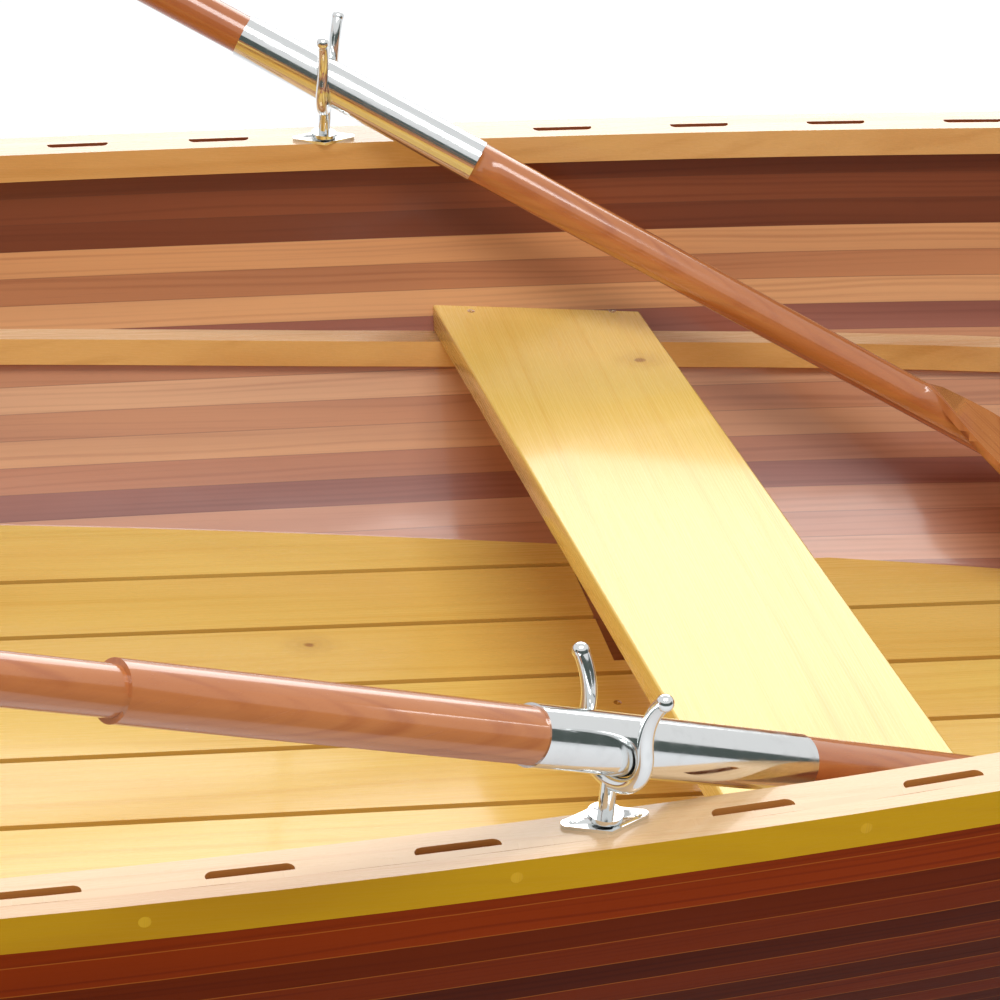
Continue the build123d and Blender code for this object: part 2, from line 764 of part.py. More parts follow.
def build_parts():
    parts = {}
    parts["transom"] = make_transom()
    parts["keel"] = make_keel()
    parts["skeg"] = make_skeg()
    parts["stem"] = make_stem()
    parts["bow_eye"] = make_bow_eye()
    parts["breasthook"] = make_breasthook()
    centre_x = LOCK_X + THWART_AFT + THWART_WIDE / 2
    parts["forward_thwart"] = make_thwart(centre_x, thwart_bottom(), THWART_WIDE, THWART_SKEW)
    aft_x = centre_x - CENTRE_THWART_BACK
    aft_bottom = riser_top(aft_x - THWART_WIDE / 2)
    parts["centre_thwart"] = make_thwart(aft_x, aft_bottom, THWART_WIDE, 0)
    parts["bow_seat"] = make_end_seat(*BOW_SEAT_X)
    parts["stern_seat"] = make_end_seat(*STERN_SEAT_X)
    seats = [parts[n] for n in ("forward_thwart", "centre_thwart", "bow_seat", "stern_seat")]
    inwale = make_inwale()
    sheer_strake, side_planking, bottom_planking = make_planking()
    paired = {
        "sheer_strake_": sheer_strake,
        "side_planking_": side_planking,
        "bottom_planking_": bottom_planking,
        "outwale_": in_lengths(make_outwale(), BUTT_XS),
        "inwale_": inwale,
    }
    for base, lengths in paired.items():
        parts[base + "port"] = Compound(children=lengths)
        mirrored = [mirror(length, Plane.XZ) for length in lengths]
        parts[base + "starboard"] = Compound(children=mirrored)
    paired = {
        "quarter_knee_": make_knee(inwale, parts["transom"]),
        "socket_forward_": make_socket(LOCK_X),
        "socket_aft_": make_socket(AFT_LOCK_X),
    }
    for base, piece in paired.items():
        parts[base + "port"] = piece
        parts[base + "starboard"] = mirror(piece, Plane.XZ)
    riser = make_riser()
    for name, whole in {"port": riser, "starboard": mirror(riser, Plane.XZ)}.items():
        for seat in seats:
            whole = whole - seat
        parts["riser_" + name] = Compound(children=in_lengths(whole, BUTT_XS))
    parts["floorboards"] = Compound(children=make_floorboards())
    parts["floor_bearers"] = Compound(children=make_bearers())
    for name, (side, turn, dip, askew, slide) in OARS.items():
        parts["oarlock_" + name] = make_oarlock(side, turn + askew)
        parts["oar_" + name] = make_oar(side, turn, dip, slide)
        parts["oar_sleeve_" + name] = make_sleeve(side, turn, dip, slide)
    return parts


def main():
    os.makedirs("parts", exist_ok=True)
    for name, shape in build_parts().items():
        export_step(shape, "parts/" + name + ".step")


if __name__ == "__main__":
    main()
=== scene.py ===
"""Looks of the rowing boat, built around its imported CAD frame."""
import json
import math

import bmesh
import bpy
import numpy as np
from bpy.props import FloatProperty, FloatVectorProperty, PointerProperty
from mathutils import Matrix, Vector, noise
from mathutils.bvhtree import BVHTree

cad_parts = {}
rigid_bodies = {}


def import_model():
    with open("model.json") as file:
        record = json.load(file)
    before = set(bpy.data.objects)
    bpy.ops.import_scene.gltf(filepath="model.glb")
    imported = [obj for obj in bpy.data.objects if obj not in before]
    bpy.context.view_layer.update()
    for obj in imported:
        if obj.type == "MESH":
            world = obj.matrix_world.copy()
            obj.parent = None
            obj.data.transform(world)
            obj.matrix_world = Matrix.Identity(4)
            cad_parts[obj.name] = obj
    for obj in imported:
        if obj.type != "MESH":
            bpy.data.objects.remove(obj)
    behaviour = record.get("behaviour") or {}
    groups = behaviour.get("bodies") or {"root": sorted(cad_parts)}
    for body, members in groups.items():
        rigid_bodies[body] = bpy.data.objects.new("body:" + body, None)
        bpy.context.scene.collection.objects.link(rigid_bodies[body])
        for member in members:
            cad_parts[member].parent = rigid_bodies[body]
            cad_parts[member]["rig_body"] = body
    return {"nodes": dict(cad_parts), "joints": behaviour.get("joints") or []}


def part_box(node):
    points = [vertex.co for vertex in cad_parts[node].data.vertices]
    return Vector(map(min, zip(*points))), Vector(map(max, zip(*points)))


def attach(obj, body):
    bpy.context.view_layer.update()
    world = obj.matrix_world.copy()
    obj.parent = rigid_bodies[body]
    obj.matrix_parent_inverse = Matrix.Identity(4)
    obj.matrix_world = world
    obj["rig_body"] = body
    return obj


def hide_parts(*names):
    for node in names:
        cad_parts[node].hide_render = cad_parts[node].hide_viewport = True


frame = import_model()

bl_info = {
    "name": "Rowing boat",
    "version": (1, 0, 0),
    "blender": (4, 5, 0),
    "location": "View3D > Sidebar > Boat",
    "description": "Dresses a strip-planked rowing boat in varnished wood and metal",
    "category": "Object",
}

# Lengths are in metres and colours are linear. X points to the bow, Y to port.
NODES = frame["nodes"]
JOINTS = {j["name"]: j for j in frame["joints"]}
SIDES = {"starboard": -1, "port": 1}
PLANKING = ("sheer_strake_", "side_planking_", "bottom_planking_")
SEATS = ("forward_thwart", "centre_thwart", "bow_seat", "stern_seat")
METAL_NODES = ("socket", "oarlock", "oar_sleeve", "bow_eye")
MATERIALS = {}

# Camera of the photograph: its place, and its picture's right, down and ahead
CAMERA_AT = (-0.20335, -2.4532, 1.7582)
CAMERA_RIGHT = (0.97435556, -0.20808327, 0.08563058)
CAMERA_DOWN = (-0.0272105, -0.48672545, -0.87313111)
CAMERA_AHEAD = (0.22336256, 0.8484101, -0.47990569)
SENSOR_MM = 36.0
CLIP_RANGE = (0.05, 200.0)

# Soft boxes: place, point they face, size, and power in watts
LAMPS = (
    ((1.7, 5.4, 3.3), (0.4, 0.0, 0.3), (6.4, 3.8), 190.0),
    ((0.2, -1.6, 4.6), (0.4, 0.0, 0.2), (3.2, 1.8), 120.0),
)
SKY_COLOUR = (0.93, 0.96, 1.0)
SKY_STRENGTH = 0.50
WHITE_RAYS = ("Is Camera Ray", "Is Glossy Ray", "Is Transmission Ray")

# Dark cloth behind the camera: part of an ellipse, its angles in degrees from the bow
CLOTH_COLOUR = (0.08, 0.10, 0.09)
CLOTH_CENTRE_X = 0.4
CLOTH_RADII = (5.5, 4.6)
CLOTH_FROM, CLOTH_SWEEP = 190, 160
CLOTH_HEIGHTS = (0.02, 2.6)
CLOTH_PANELS = 24
MATT = 0.9

WATER_COLOUR = (0.95, 0.95, 0.95)
WATER_REACH = 30.0
WATERLINE_ENDS = (-2.60, 2.60)
WATERLINE_STEPS = 90
WATERLINE_LAP = 0.003
WATERLINE_LEAST = 0.004
WATERLINE_SKIP = 0.001

# Colours of the planking's strips inside, counted from the sheer
STRIPS = (
    (0.248, 0.062, 0.022), (0.218, 0.053, 0.018), (0.266, 0.070, 0.025),
    (0.201, 0.049, 0.018), (0.755, 0.362, 0.152), (0.637, 0.269, 0.112),
    (0.802, 0.406, 0.178), (0.354, 0.119, 0.073), (0.614, 0.275, 0.132),
    (0.791, 0.438, 0.238), (0.625, 0.288, 0.145), (0.755, 0.388, 0.191),
    (0.555, 0.231, 0.119), (0.342, 0.119, 0.082), (0.673, 0.325, 0.191),
    (0.543, 0.237, 0.139), (0.684, 0.338, 0.198), (0.496, 0.206, 0.119),
    (0.637, 0.300, 0.172), (0.543, 0.231, 0.132),
)
# Shares of the hull's colour for its outer strips, counted from the sheer: each strip's
# own tone, with painted shade that darkens the strips from the fourth down
HULL_TONES_AND_PAINTED_SHADE = (0.72, 0.60, 0.64, 0.32, 0.40, 0.22, 0.36, 0.18, 0.34, 0.22, 0.36, 0.22)
STRIP_GRAIN_PITCH = 0.007
# The planking's upper face, down to this girth, has the rail's wood
SHEER_FACE_GIRTH = 0.012

# How the wood's patterns are stretched along the grain, across it and in depth
BEND_STRETCH = (1.1, 7.0, 7.0)
STREAK_STRETCH = (0.8, 75.0, 20.0)
PORE_STRETCH = (9.0, 520.0, 520.0)
CLOUD_STRETCH = (1.6, 6.0, 6.0)
STRIP_STRETCH = (0.9, 12.0, 1.0)
SCRATCH_STRETCH = (90.0, 900.0, 900.0)
FULL_TURN = 6.283
# How far the rings lean with depth and sway with the bend, and the streaks' share
RING_LEAN, RING_SWAY = 0.35, 0.05
STREAK_PART, RING_PART = 0.86, 0.07
# Parts of a noise's range, from where it starts to show to where it shows in full
LATE_RANGE = (0.40, 0.66)
PORE_RANGE = (0.5, 0.8)
ROUGH_RANGE = (0.3, 0.8)
CLOUD_RANGE = (0.42, 0.72)
STRIP_RANGE = (0.38, 0.68)
WORN_RANGE = (0.5, 0.75)
SMEAR_RANGE = (0.35, 0.75)
# A seam's shares of its strip's width, at both edges
SEAM_RANGES = ((0.0, 0.03), (0.97, 1.0))

# Knots in the seat and the floor
KNOTS = ((0.7054, 0.4556, 0.2834), (0.3189, 0.2452, 0.065), (-0.31, -0.16, 0.30),
         (-0.93, 0.12, 0.065), (1.05, -0.18, 0.065))
KNOT_COLOUR = (0.30, 0.10, 0.02)
KNOT_SQUASH = (0.7, 1.0, 0.3)
KNOT_WOBBLE = 0.012
KNOT_RINGS = 900.0
KNOT_HEART = (0.003, 0.0065)
KNOT_SWIRL = (0.004, 0.030)

# Late wood, the darker part of each growth ring
PINE_LATE = (0.74, 0.40, 0.05)
RAIL_LATE = (0.62, 0.28, 0.09)
RAIL_INSIDE_LATE = (0.55, 0.24, 0.05)
# Late wood of the rail's outer faces, darkened as painted shade
RAIL_OUTSIDE_PAINTED_SHADE_LATE = (0.48, 0.23, 0.005)
CEDAR_LATE = (0.25, 0.08, 0.035)
OAR_LATE = (0.34, 0.075, 0.02)
SLOT, SLOT_LATE = (0.90, 0.38, 0.09), (0.60, 0.20, 0.05)
PLUG, PLUG_LATE = (0.72, 0.42, 0.02), (0.48, 0.24, 0.01)
STRIP_SEAM = (0.10, 0.035, 0.02)
CLOUD_TINT, LATE_TINT = (0.62, 0.55, 0.62), (0.52, 0.38, 0.34)
PORE_TINT = (0.6, 0.5, 0.45)
HULL_SEAM = (0.72, 0.22, 0.03)
SCREW = (0.62, 0.56, 0.50)

# Cleaning and shading of the CAD meshes
SAME_POINT = 1e-5
BUTT_NORMAL = 0.999
BUTT_GRID = 1e4
FLAT_WITHIN = math.radians(0.2)
BEVEL_FROM = math.radians(40)
SHARP_FROM = math.radians(35)
BEVEL_STEPS = 2
LEVEL_NORMAL = 0.9999
LARGE_AREA = 0.004

# Normals that tell the faces of rails and planking apart; outboard is positive
STEEP_BELOW = 0.7
RAIL_OUTSIDE_FROM = -0.5
RAIL_INSIDE_TO = -0.8
SHEER_FACE_FROM = 0.9
HULL_OUTSIDE_FROM = 0.1

# Table of the girth: stations along the boat, angles from level to straight down
GIRTH_STATIONS = 130
GIRTH_ANGLES = 73
GIRTH_INSET = 0.01
GIRTH_OFF_CENTRE = 0.0005
GIRTH_UNDER_SHEER = 0.001
GIRTH_FIRST_REACH = 0.02
SHEER_RANGE = (0.2, 0.8)
SHEER_HALVINGS = 16
# Rays start this far off the boat, or reach this far inside it
RAY_REACH = 2.0

# Heads of screws and plugs: steps across the head, and a screw's crossed recess, as
# shares of the radius
STUD_STEPS = (-1.0, -0.86, -0.66, -0.6, -0.36, -0.16, -0.11, 0.0,
              0.11, 0.16, 0.36, 0.6, 0.66, 0.86, 1.0)
CROSS_HALF, CROSS_LONG = 0.11, 0.6
STUD_DOME = 0.8
STUD_ROOT = -0.0006
STUD_TURN = 2.4
SCREW_RISE, SCREW_RECESS = 0.0004, 0.0007
SOCKET_SCREW_RISE, SOCKET_SCREW_RECESS = 0.0006, 0.0008
PLUG_RISE = 0.0003

# Seeds that shift the grain from board to board
CEDAR_SEED, STEM_SEED, TRANSOM_SEED, KNEE_SEED = 1.0, 3.0, 4.0, 5.0
OUTWALE_SEED, INWALE_SEED, RISER_SEED = 9.0, 11.0, 13.0
SEAT_SEED, FLOOR_SEED, OAR_SEED, STUD_SEED = 20.0, 30.0, 40.0, 60.0

# Places of the fastenings
BEARERS = (-2.0, -1.378, -0.713, -0.048, 0.617, 1.282, 1.6)
BOARD_PITCH = 0.112
LAST_BOARD = 4
SCREW_CLEAR = 0.02
SAME_LEVEL = 0.001
THWART_SCREWS = ((0.5417, 0.5838), (0.7031, 0.5787))
SEAT_SCREW_SHARE = 0.16
SEAT_SCREW_INSET = 0.022
EDGE_STEP, EDGE_LIMIT = 0.002, 0.9
SOCKET_SCREW_SHARE = 0.37
SOCKET_SCREW_SIZE = 0.8
PLUG_FIRST = -2.398
PLUG_PITCH = 0.27
PLUG_COUNT = 19
PLUG_DROP = 0.0142
PLUG_NEAR = 0.03
PLUG_FROM_Y = 1.2


class BoatSizes(bpy.types.PropertyGroup):
    """Sizes of what the visual model adds to the frame"""
    strip_width: FloatProperty(
        name="Strip width", description="Width of one planking strip, along the girth",
        default=0.0296, unit="LENGTH")
    edge_round: FloatProperty(
        name="Edge rounding", description="Width of the sanded edges of the boards",
        default=0.0022, unit="LENGTH")
    screw_head: FloatProperty(
        name="Screw head", description="Diameter of the screw heads in floor and seats",
        default=0.0085, unit="LENGTH")
    plug_diameter: FloatProperty(
        name="Plug", description="Diameter of the wooden plugs in the rubbing strakes",
        default=0.0095, unit="LENGTH")
    lens: FloatProperty(
        name="Lens", description="Focal length for a sensor 36 mm wide",
        default=111.423, unit="CAMERA")


class BoatColours(bpy.types.PropertyGroup):
    """Colours of the woods and metals"""
    pine: FloatVectorProperty(
        name="Pine", description="Seats and floorboards", subtype="COLOR", size=3,
        default=(0.96, 0.665, 0.165))
    # Painted sheen: the upper faces' colour is a paler copy of the rail's wood
    rail: FloatVectorProperty(
        name="Rail", description="Upper faces of the gunwale and risers",
        subtype="COLOR", size=3, default=(0.80, 0.53, 0.28))
    rail_inside: FloatVectorProperty(
        name="Rail inside", description="Gunwale and risers towards the middle",
        subtype="COLOR", size=3, default=(0.88, 0.53, 0.20))
    # Painted shade: the rail's wood made darker and more saturated for the outer faces
    # of the rubbing strakes
    rail_outside: FloatVectorProperty(
        name="Rail outside", description="Outer face of the rubbing strakes",
        subtype="COLOR", size=3, default=(0.60, 0.325, 0.005))
    hull: FloatVectorProperty(
        name="Hull", description="Outside of the planking", subtype="COLOR", size=3,
        default=(0.48, 0.056, 0.002))
    cedar: FloatVectorProperty(
        name="Cedar", description="Transom, keel and skeg", subtype="COLOR", size=3,
        default=(0.50, 0.19, 0.075))
    oar: FloatVectorProperty(
        name="Oar wood", description="Looms and blades", subtype="COLOR", size=3,
        default=(0.60, 0.215, 0.065))
    metal: FloatVectorProperty(
        name="Metal", description="Oarlocks, sockets and sleeves", subtype="COLOR",
        size=3, default=(0.84, 0.86, 0.86))


class Value:
    """One number, colour or vector in a shader, with its maths as Python operators."""

    def __init__(self, shop, socket):
        self.shop = shop
        self.socket = socket

    def __add__(self, other):
        return self.shop.maths("ADD", self, other)

    def __radd__(self, other):
        return self.shop.maths("ADD", other, self)

    def __sub__(self, other):
        return self.shop.maths("SUBTRACT", self, other)

    def __rsub__(self, other):
        return self.shop.maths("SUBTRACT", other, self)

    def __mul__(self, other):
        return self.shop.maths("MULTIPLY", self, other)

    def __rmul__(self, other):
        return self.shop.maths("MULTIPLY", other, self)

    def __truediv__(self, other):
        return self.shop.maths("DIVIDE", self, other)

    def __rtruediv__(self, other):
        return self.shop.maths("DIVIDE", other, self)


class Shop:
    """Makes the nodes of one material, or of the world."""

    def __init__(self, owner):
        owner.use_nodes = True
        self.owner = owner
        self.tree = owner.node_tree

    def put(self, socket, value):
        if isinstance(value, Value):
            self.tree.links.new(value.socket, socket)
        elif hasattr(value, "__len__") and socket.type == "RGBA" and len(value) == 3:
            socket.default_value = (*value, 1.0)
        else:
            socket.default_value = value

    def node(self, kind, settings=None, inputs=None, out=0):
        made = self.tree.nodes.new(kind)
        for key, value in (settings or {}).items():
            if key == "steps":
                self.set_steps(made.color_ramp, value)
            else:
                setattr(made, key, value)
        for key, value in (inputs or {}).items():
            self.put(made.inputs[key], value)
        return Value(self, made.outputs[out]) if len(made.outputs) else None

    def set_steps(self, ramp, steps):
        ramp.interpolation = "CONSTANT"
        while len(ramp.elements) < len(steps):
            ramp.elements.new(0.5)
        for element, (place, colour) in zip(ramp.elements, steps):
            element.position = place
            element.color = (*colour, 1.0)

    def maths(self, operation, *values):
        settings = {"operation": operation}
        return self.node("ShaderNodeMath", settings, dict(enumerate(values)))

    def vector(self, operation, *values, out=0):
        settings = {"operation": operation}
        return self.node("ShaderNodeVectorMath", settings, dict(enumerate(values)), out)

    def joined(self, *values):
        return self.node("ShaderNodeCombineXYZ", {}, dict(enumerate(values)))

    def parts(self, place):
        return [self.node("ShaderNodeSeparateXYZ", {}, {0: place}, out=axis)
                for axis in range(3)]

    def mix(self, factor, a, b, blend="MIX"):
        """Mix of two colours, whose sockets follow those for numbers and vectors."""
        settings = {"data_type": "RGBA", "blend_type": blend}
        return self.node("ShaderNodeMix", settings, {0: factor, 6: a, 7: b}, out=2)

    def tint(self, factor, base, colour):
        return self.mix(factor, base, self.mix(1.0, base, colour, "MULTIPLY"))

    def smooth(self, *values):
        """Smooth step of a value between low and high, to the range that may follow."""
        settings = {"interpolation_type": "SMOOTHSTEP"}
        return self.node("ShaderNodeMapRange", settings, dict(enumerate(values)))

    def noise(self, place, detail, rough=0.55, scale=1.0, stretch=None):
        if stretch:
            place = self.vector("MULTIPLY", place, stretch)
        return self.node("ShaderNodeTexNoise", {}, {
            "Vector": place, "Scale": scale, "Detail": detail, "Roughness": rough})

    def random(self, value):
        return self.node("ShaderNodeTexWhiteNoise", {"noise_dimensions": "1D"},
                         {"W": value})

    def attribute(self, name, out):
        return self.node("ShaderNodeAttribute", {"attribute_name": name}, out=out)

    def place(self):
        return self.node("ShaderNodeTexCoord", out="Object")

    def bump(self, strength, distance, height):
        return self.node("ShaderNodeBump", {}, {
            "Strength": strength, "Distance": distance, "Height": height})

    def finish(self, **inputs):
        shader = self.tree.nodes["Principled BSDF"]
        for name, value in inputs.items():
            self.put(shader.inputs[name.replace("_", " ")], value)
        return self.owner


def plain(name, colour):
    """Matt material of one colour, for the stage."""
    shop = Shop(bpy.data.materials.new(name))
    return shop.finish(Base_Color=colour, Roughness=MATT)


def grain(shop, place, pitch):
    """Streaks of growth rings on a sawn face, and its fine pores, from 0 to 1."""
    along, side, depth = shop.parts(place)
    bend = shop.noise(place, 2.0, stretch=BEND_STRETCH) - 0.5
    across = side + depth * RING_LEAN + bend * RING_SWAY
    rings = shop.maths("SINE", across * (FULL_TURN / pitch))
    band = shop.joined(*(value * stretch for value, stretch
                         in zip((along, across, depth), STREAK_STRETCH)))
    streaks = shop.noise(band, 4.0, 0.6)
    late = shop.smooth(streaks * STREAK_PART + rings * RING_PART, *LATE_RANGE)
    pores = shop.noise(place, 3.0, 0.65, stretch=PORE_STRETCH)
    return late, pores


def knots(shop, base):
    """Small knots at fixed places, each with a swirl of darker wood around it."""
    place = shop.place()
    wobble = (shop.noise(place, 3.0, scale=60.0) - 0.5) * KNOT_WOBBLE
    for knot in KNOTS:
        away = shop.vector("SUBTRACT", place, knot)
        away = shop.vector("MULTIPLY", away, KNOT_SQUASH)
        far = shop.vector("LENGTH", away, out=1) + wobble
        swirl = shop.maths("SINE", far * KNOT_RINGS) * 0.5 + 0.5
        heart = 1.0 - shop.smooth(far, *KNOT_HEART)
        around = (1.0 - shop.smooth(far, *KNOT_SWIRL)) * (swirl * 0.08 + 0.16)
        base = shop.mix(heart * 0.8 + around * (1.0 - heart), base, KNOT_COLOUR)
    return base


def wood(name, colour, late_colour, late_share=0.35, pitch=0.012, blotch=0.25, coat=0.6,
         rough=0.28, boards=0.0, knotty=False, shine=0.5):
    """Varnished board whose grain runs along its own length."""
    shop = Shop(bpy.data.materials.new(name))
    place = shop.attribute("grain", "Vector")
    if boards:
        board = shop.maths("FLOOR", shop.parts(shop.place())[1] / boards + 0.5)
        board = shop.maths("MINIMUM", board, LAST_BOARD)
        board = shop.maths("MAXIMUM", board, -LAST_BOARD)
        tone = shop.random(board)
        place = shop.vector("ADD", place, shop.joined(tone * 9.0, board * 0.37, tone))
    late, pores = grain(shop, place, pitch)
    cloud = shop.noise(place, 3.0, stretch=CLOUD_STRETCH)
    darker = tuple(c * (1.0 - blotch) ** (1 + i) for i, c in enumerate(colour))
    base = shop.mix(shop.smooth(cloud, *CLOUD_RANGE) * 0.7, colour, darker)
    if boards:
        base = shop.mix(tone * 0.45, base, darker)
    base = shop.mix(late * late_share, base, late_colour)
    base = shop.mix(shop.smooth(pores, *PORE_RANGE) * 0.18, base, late_colour)
    if knotty:
        base = knots(shop, base)
    return shop.finish(
        Base_Color=base,
        Roughness=shop.smooth(pores, *ROUGH_RANGE, rough - 0.06, rough + 0.08),
        Normal=shop.bump(0.08, 0.0003, pores * 0.6 + late * 0.4),
        Coat_Weight=coat, Coat_Roughness=0.10, Specular_IOR_Level=shine)


def strip_planking(name, strip, colours, seam_colour, seam_share, streak=0.4, coat=0.5,
                   shine=0.5):
    """Narrow strips laid along the girth, each with its own tone."""
    shop = Shop(bpy.data.materials.new(name))
    lane = shop.attribute("girth", "Fac") / strip
    index = shop.maths("FLOOR", lane)
    within = shop.maths("FRACT", lane)
    tone = shop.random(index + 0.5)
    place = shop.vector("ADD", shop.attribute("grain", "Vector"),
                        shop.joined(tone * 7.0, index * 0.61))
    late, pores = grain(shop, place, STRIP_GRAIN_PITCH)
    count = len(colours)
    steps = [(i / count, colour) for i, colour in enumerate(colours)]
    base = shop.node("ShaderNodeValToRGB", {"steps": steps}, {0: (index + 0.5) / count})
    cloud = shop.noise(place, 2.0, stretch=STRIP_STRETCH)
    base = shop.tint(shop.smooth(cloud, *STRIP_RANGE) * 0.5, base, CLOUD_TINT)
    base = shop.tint(late * streak, base, LATE_TINT)
    base = shop.tint(shop.smooth(pores, *PORE_RANGE) * 0.2, base, PORE_TINT)
    start, end = (shop.smooth(within, *edge) for edge in SEAM_RANGES)
    inner = start * (1.0 - end)
    base = shop.mix((1.0 - inner) * seam_share, base, seam_colour)
    return shop.finish(
        Base_Color=base, Roughness=shop.smooth(pores, *ROUGH_RANGE, 0.28, 0.40),
        Normal=shop.bump(0.10, 0.0003, pores * 0.5 + inner * 0.5),
        Coat_Weight=coat, Coat_Roughness=0.12, Specular_IOR_Level=shine)


def polished(name, colour):
    """Polished metal with faint wear."""
    shop = Shop(bpy.data.materials.new(name))
    place = shop.place()
    smear = shop.noise(place, 4.0, scale=60.0)
    scratch = shop.noise(place, 3.0, stretch=SCRATCH_STRETCH)
    worn = tuple(c * 0.8 for c in colour)
    return shop.finish(
        Base_Color=shop.mix(shop.smooth(smear, *WORN_RANGE) * 0.25, colour, worn),
        Roughness=shop.smooth(smear, *SMEAR_RANGE, 0.08, 0.2),
        Normal=shop.bump(0.05, 0.0002, scratch), Metallic=1.0)


def materials():
    """Materials by name, made once from the colours."""
    if MATERIALS:
        return MATERIALS
    strip = bpy.context.scene.boat_sizes.strip_width
    group = bpy.context.scene.boat_colours
    c = {name: tuple(getattr(group, name)) for name in group.__annotations__}
    # The hull's outer strips: their own tones, and painted shade that makes the lower
    # strips darker
    hull_tones_and_painted_shade = [tuple(part * shade for part in c["hull"]) for shade in HULL_TONES_AND_PAINTED_SHADE]
    MATERIALS.update(
        pine=wood("varnished_pine", c["pine"], PINE_LATE, late_share=0.34, pitch=0.020,
                  blotch=0.10, knotty=True),
        floor=wood("varnished_floor", c["pine"], PINE_LATE, late_share=0.34,
                   pitch=0.016, blotch=0.14, boards=BOARD_PITCH, knotty=True),
        # The paler colour of the rail's upper faces is painted sheen; the stem, knees
        # and the planking's upper edge share it
        rail=wood("varnished_rail", c["rail"], RAIL_LATE),
        rail_inside=wood("varnished_rail_inside", c["rail_inside"], RAIL_INSIDE_LATE),
        # Painted shade: a darker, more saturated copy of the rail's wood for the faces
        # that look outboard
        rail_outside=wood("varnished_rail_outside", c["rail_outside"],
                          RAIL_OUTSIDE_PAINTED_SHADE_LATE, coat=0.0, shine=0.08),
        slot=wood("rail_slots", SLOT, SLOT_LATE, late_share=0.4),
        cedar=wood("varnished_cedar", c["cedar"], CEDAR_LATE, late_share=0.5),
        oar=wood("varnished_oar", c["oar"], OAR_LATE, late_share=0.5, pitch=0.007,
                 coat=1.0, rough=0.22),
        strips=strip_planking("varnished_strips", strip, STRIPS, STRIP_SEAM,
                              seam_share=0.4),
        outside=strip_planking("varnished_hull", strip, hull_tones_and_painted_shade, HULL_SEAM,
                               seam_share=0.45, streak=0.6, coat=0.0, shine=0.03),
        metal=polished("polished_metal", c["metal"]),
        screw=polished("steel_screws", SCREW),
        plug=wood("end_grain_plugs", PLUG, PLUG_LATE, late_share=0.5, pitch=0.002,
                  coat=0.0, shine=0.08),
    )
    return MATERIALS


def link(name, mesh):
    made = bpy.data.objects.new(name, mesh)
    bpy.context.scene.collection.objects.link(made)
    return made


def linked_shape(name, points, faces, material):
    mesh = bpy.data.meshes.new(name)
    mesh.from_pydata(points, [], faces)
    mesh.materials.append(material)
    return link(name, mesh)


def body_of(node):
    return NODES[node]["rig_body"]


def polygons(*nodes):
    """Points and faces of CAD nodes, for a tree that rays are cast at."""
    points = []
    faces = []
    for node in nodes:
        start = len(points)
        mesh = NODES[node].data
        points += [v.co.copy() for v in mesh.vertices]
        faces += [[start + i for i in p.vertices] for p in mesh.polygons]
    return points, faces


def write_attribute(mesh, name, values, kind="FLOAT"):
    made = mesh.attributes.new(name, kind, "POINT")
    field = "vector" if kind == "FLOAT_VECTOR" else "value"
    made.data.foreach_set(field, np.asarray(values, np.float32).ravel())


def set_grain(mesh, along, across, seed):
    """Writes each point's place in its board: along the grain, across and in depth."""
    along = Vector(along).normalized()
    across = Vector(across)
    across = (across - along * across.dot(along)).normalized()
    depth = along.cross(across)
    shift = Vector([noise.cell((seed, axis + 0.5, 0.5)) for axis in range(3)]) * 3.0
    write_attribute(mesh, "grain", [
        Vector((v.co.dot(along), v.co.dot(across), v.co.dot(depth))) + shift
        for v in mesh.vertices], "FLOAT_VECTOR")


def butt_faces(mesh):
    """End faces that meet where two lengths of one piece are butted."""
    ends = {}
    for face in mesh.faces:
        if abs(face.normal.x) > BUTT_NORMAL:
            xs = [v.co.x for v in face.verts]
            if max(xs) - min(xs) < 2 * SAME_POINT:
                ends.setdefault(round(xs[0] * BUTT_GRID), []).append(face)
    met = [faces for faces in ends.values()
           if len({face.normal.x > 0 for face in faces}) == 2]
    return [face for faces in met for face in faces]


def cleaned(mesh):
    """Joins the lengths of a CAD mesh and merges its flat triangles."""
    work = bmesh.new()
    work.from_mesh(mesh)
    bmesh.ops.delete(work, geom=butt_faces(work), context="FACES")
    bmesh.ops.remove_doubles(work, verts=work.verts, dist=SAME_POINT)
    bmesh.ops.dissolve_limit(work, angle_limit=FLAT_WITHIN, verts=work.verts,
                             edges=work.edges)
    work.to_mesh(mesh)
    work.free()


def round_edges(made, width):
    tool = made.modifiers.new("edges", "BEVEL")
    tool.width = width
    tool.segments = BEVEL_STEPS
    tool.limit_method = "ANGLE"
    tool.angle_limit = BEVEL_FROM
    graph = bpy.context.evaluated_depsgraph_get()
    baked = bpy.data.meshes.new_from_object(made.evaluated_get(graph))
    made.modifiers.clear()
    made.data = baked


def shade(mesh):
    """Smooth shading, but flat on large level faces, which it would darken."""
    mesh.shade_smooth()
    mesh.set_sharp_from_angle(angle=SHARP_FROM)
    for face in mesh.polygons:
        if abs(face.normal.z) > LEVEL_NORMAL and face.area > LARGE_AREA:
            face.use_smooth = False


def dressed(node, material, along=(1, 0, 0), across=(0, 1, 0), seed=1.0,
            bevel=None, faces=()):
    """Copy of a CAD node with its own material, and others where a normal fits."""
    mesh = NODES[node].data.copy()
    mesh.materials.clear()
    made = link(node + "_finished", mesh)
    cleaned(mesh)
    if bevel:
        round_edges(made, bevel)
    shade(made.data)
    set_grain(made.data, along, across, seed)
    made.data.materials.append(material)
    for index, (other, chosen) in enumerate(faces, start=1):
        made.data.materials.append(other)
        for face in made.data.polygons:
            if chosen(face.normal):
                face.material_index = index
    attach(made, body_of(node))
    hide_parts(node)


